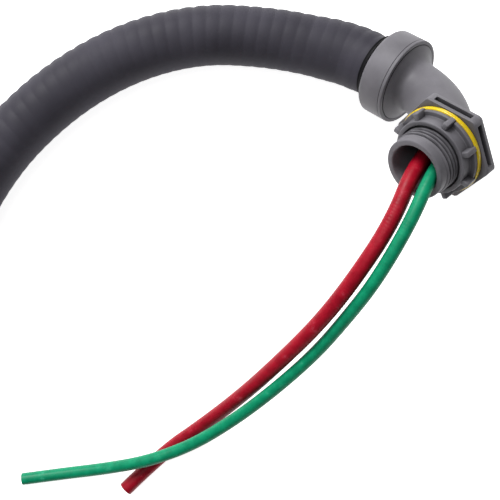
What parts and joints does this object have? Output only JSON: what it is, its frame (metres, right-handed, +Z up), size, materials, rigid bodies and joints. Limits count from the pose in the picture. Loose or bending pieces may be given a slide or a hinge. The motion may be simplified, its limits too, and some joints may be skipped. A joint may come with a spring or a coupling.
{
  "type": "flexible conduit whip",
  "caption": "Dark grey liquid-tight flexible conduit bent in a hook, with grey 90 degree and straight connectors and red and green wires through it.",
  "frame": {"origin": "on the ground, under the middle of the whip's overall box", "axes": "+Z up from the ground that the whip lies on; +Y along its longest extent, towards the 90 degree connector"},
  "size_m": [0.2598, 0.3342, 0.0807],
  "materials": {
    "conduit_jacket": "satin flexible PVC",
    "liner": "smooth PVC",
    "fitting_grey": "moulded PVC, satin",
    "seal_black": "matt",
    "ferrule": "moulded",
    "gasket_yellow": "glossy",
    "red_insulation": "nylon-coated",
    "green_insulation": "nylon-coated",
    "copper": "bare stranded copper"
  },
  "bodies": {
    "whip": {"conduit_jacket": "conduit_jacket", "conduit_liner": "liner", "elbow_body": "fitting_grey", "elbow_ferrule": "ferrule", "straight_body": "fitting_grey", "straight_ferrule": "ferrule", "red_insulation_tail": "red_insulation", "red_copper_tail": "copper", "red_insulation_run": "red_insulation", "red_copper_run": "copper", "red_insulation_far_tail": "red_insulation", "red_copper_far_tail": "copper", "green_insulation_tail": "green_insulation", "green_copper_tail": "copper", "green_insulation_run": "green_insulation", "green_copper_run": "copper", "green_insulation_far_tail": "green_insulation", "green_copper_far_tail": "copper"},
    "elbow_seal": {"elbow_seal_ring": "seal_black"},
    "elbow_nut": {"elbow_nut": "fitting_grey"},
    "elbow_gasket": {"elbow_gasket": "gasket_yellow"},
    "elbow_locknut": {"elbow_locknut": "fitting_grey"},
    "straight_seal": {"straight_seal_ring": "seal_black"},
    "straight_nut": {"straight_nut": "fitting_grey"},
    "straight_gasket": {"straight_gasket": "gasket_yellow"},
    "straight_locknut": {"straight_locknut": "fitting_grey"}
  },
  "joints": [
    {"name": "elbow_nut_turn", "type": "hinge", "parent": "whip", "child": "elbow_seal", "pos_m": [0.0982, 0.1289, 0.0304], "axis": [-0.7164, 0.5148, -0.471], "range_deg": [0, 1080]},
    {"name": "elbow_nut_travel", "type": "slide", "parent": "elbow_seal", "child": "elbow_nut", "axis": [-0.7164, 0.5148, -0.471], "range_m": [0, 0.0075]},
    {"name": "elbow_locknut_turn", "type": "hinge", "parent": "whip", "child": "elbow_gasket", "pos_m": [0.10586, 0.09671, 0.06064], "axis": [-0.6976, -0.5136, 0.4996], "range_deg": [0, 1440]},
    {"name": "elbow_locknut_travel", "type": "slide", "parent": "elbow_gasket", "child": "elbow_locknut", "axis": [-0.6976, -0.5136, 0.4996], "range_m": [0, 0.00726]},
    {"name": "straight_nut_turn", "type": "hinge", "parent": "whip", "child": "straight_seal", "pos_m": [-0.03694, -0.11816, 0.01897], "axis": [-0.839, 0.5442, 0], "range_deg": [0, 1080]},
    {"name": "straight_nut_travel", "type": "slide", "parent": "straight_seal", "child": "straight_nut", "axis": [-0.839, 0.5442, 0], "range_m": [0, 0.0075]},
    {"name": "straight_locknut_turn", "type": "hinge", "parent": "whip", "child": "straight_gasket", "pos_m": [-0.02939, -0.12306, 0.01897], "axis": [0.839, -0.5442, 0], "range_deg": [0, 1440]},
    {"name": "straight_locknut_travel", "type": "slide", "parent": "straight_gasket", "child": "straight_locknut", "axis": [0.839, -0.5442, 0], "range_m": [0, 0.00726]}
  ],
  "couplings": [
    {"joint": "elbow_nut_travel", "follows": "elbow_nut_turn", "m_per_rad": 0.00039789},
    {"joint": "elbow_locknut_travel", "follows": "elbow_locknut_turn", "m_per_rad": 0.00028871},
    {"joint": "straight_nut_travel", "follows": "straight_nut_turn", "m_per_rad": 0.00039789},
    {"joint": "straight_locknut_travel", "follows": "straight_locknut_turn", "m_per_rad": 0.00028871}
  ]
}
